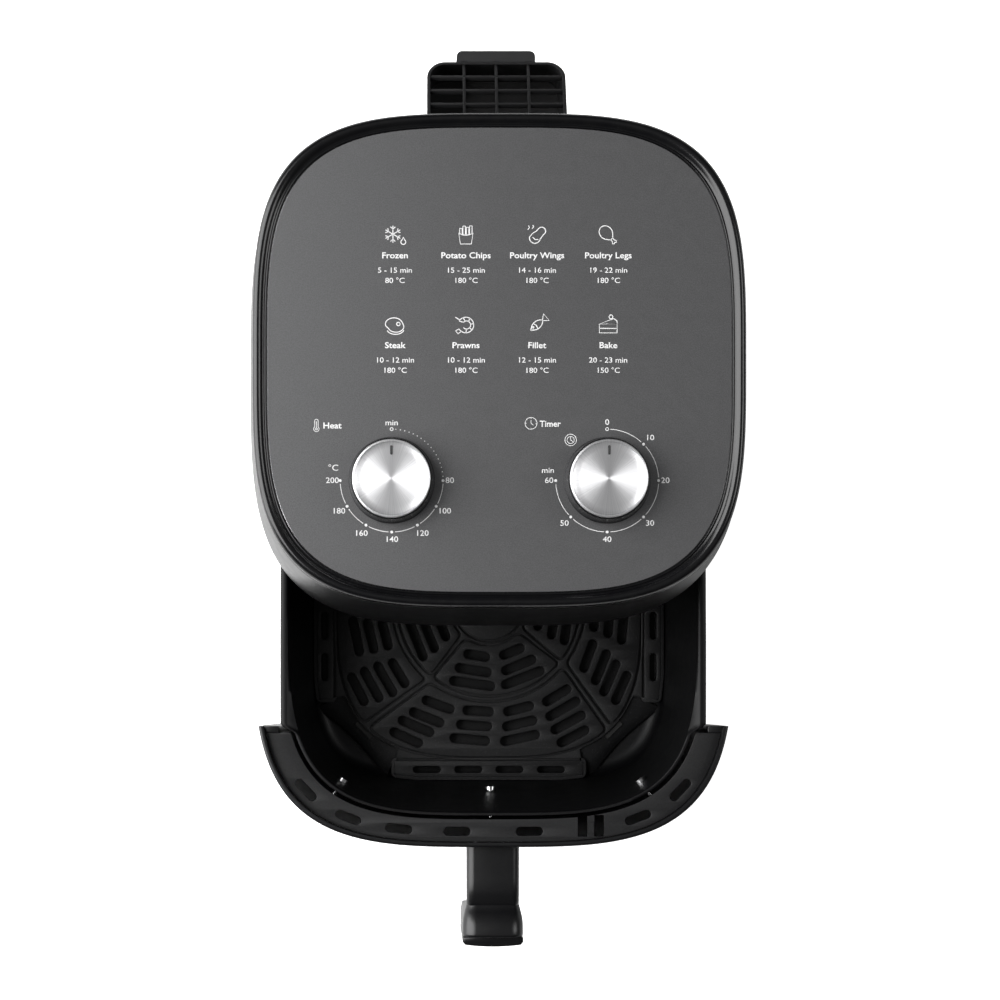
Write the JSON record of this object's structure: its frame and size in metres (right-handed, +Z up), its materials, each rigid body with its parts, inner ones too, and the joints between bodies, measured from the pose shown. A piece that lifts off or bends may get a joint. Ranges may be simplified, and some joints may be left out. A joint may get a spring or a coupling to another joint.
{
  "type": "air fryer",
  "caption": "Basket air fryer: rounded-square cabinet, metal top panel with two dials, pull-out drawer with slotted crisper plate, vertical grip, rear vent hood.",
  "frame": {"origin": "on the standing surface, under the centre of the whole outline with the drawer pulled out 138 mm", "axes": "+Z up; the drawer and handle face -Y and the vent faces +Y; +X is to the right seen from the front"},
  "size_m": [0.2998, 0.546, 0.321],
  "materials": {
    "shell_plastic": "black moulded plastic, satin gloss",
    "bezel_plastic": "black moulded plastic, glossy",
    "panel_metal": "dark grey satin metal sheet with printed marks",
    "inner_plastic": "matte",
    "rubber": "matte",
    "vent_plastic": "fine texture, matte",
    "galvanised": "galvanised sheet steel",
    "reflector": "mill finish aluminium",
    "element_tube": "heat-stained steel tube",
    "bright_steel": "bright plated steel",
    "laminations": "stacked laminations",
    "bronze": "sintered bronze",
    "copper": "drawn copper",
    "ceramic": "cream heat-proof moulding",
    "wire_cover": "silicone wire covering",
    "dial_plastic": "black, glossy",
    "dial_metal": "spun aluminium",
    "pointer_ink": "filled groove",
    "non_stick": "speckled non-stick coating",
    "frame_plastic": "fine spark-eroded texture",
    "handle_plastic": "black moulded plastic, satin"
  },
  "bodies": {
    "housing": {"outer_shell": "shell_plastic", "top_bezel": "bezel_plastic", "control_panel": "panel_metal", "panel_carrier": "inner_plastic", "base_tray": "inner_plastic", "rubber_feet": "rubber", "rear_vent_hood": "vent_plastic", "rear_wall_spacer": "vent_plastic", "exhaust_duct": "galvanised", "cord_inlet": "vent_plastic", "bay_liner": "galvanised", "bay_frame": "inner_plastic", "drawer_rails": "galvanised", "heat_reflector": "reflector", "heating_element": "element_tube", "element_clips": "galvanised", "element_guard": "bright_steel", "motor_deck": "galvanised", "motor_frame": "galvanised", "motor_stator": "laminations", "motor_bushes": "bronze", "thermostat_body": "ceramic", "thermostat_bulb": "copper", "timer_body": "ceramic", "timer_bell": "bright_steel", "safety_switch": "inner_plastic", "thermal_fuse": "ceramic", "terminal_block": "ceramic", "wiring_loom": "wire_cover", "base_screws": "bright_steel", "carrier_screws": "bright_steel"},
    "fan_rotor": {"motor_shaft": "bright_steel", "motor_rotor": "laminations", "hot_air_impeller": "reflector", "cooling_fan": "inner_plastic", "impeller_nut": "bronze"},
    "temperature_dial": {"temperature_skirt": "dial_plastic", "temperature_cap": "dial_metal", "temperature_pointer": "pointer_ink", "temperature_shaft": "bright_steel"},
    "timer_dial": {"timer_skirt": "dial_plastic", "timer_cap": "dial_metal", "timer_pointer": "pointer_ink", "timer_shaft": "bright_steel"},
    "safety_lever": {"switch_lever": "bright_steel"},
    "drawer": {"basket": "non_stick", "drawer_front": "shell_plastic", "drawer_rim_frame": "frame_plastic", "switch_tongue": "frame_plastic", "basket_screws": "bright_steel", "handle_arm": "handle_plastic", "handle_grip": "handle_plastic", "handle_cover": "bezel_plastic", "handle_bolts": "bright_steel"},
    "crisper": {"crisper_plate": "non_stick", "plate_bumpers": "rubber"}
  },
  "joints": [
    {"name": "drawer_slide", "type": "slide", "parent": "housing", "child": "drawer", "axis": [0, -1, 0], "range_m": [-0.138, 0.12]},
    {"name": "plate_lift", "type": "slide", "parent": "drawer", "child": "crisper", "axis": [0, 0, 1], "range_m": [0, 0.1]},
    {"name": "temperature_turn", "type": "hinge", "parent": "housing", "child": "temperature_dial", "pos_m": [-0.062, 0.0085, 0.304], "axis": [0, 0, 1], "range_deg": [-270, 0]},
    {"name": "timer_turn", "type": "hinge", "parent": "housing", "child": "timer_dial", "pos_m": [0.062, 0.0085, 0.304], "axis": [0, 0, 1], "range_deg": [-270, 45]},
    {"name": "fan_spin", "type": "hinge", "parent": "housing", "child": "fan_rotor", "pos_m": [0, 0.078, 0.24], "axis": [0, 0, 1], "continuous": true},
    {"name": "lever_swing", "type": "hinge", "parent": "housing", "child": "safety_lever", "pos_m": [0.064, -0.059, 0.19], "axis": [1, 0, 0], "range_deg": [0, 12], "stiffness_Nm_per_rad": 0.002}
  ]
}
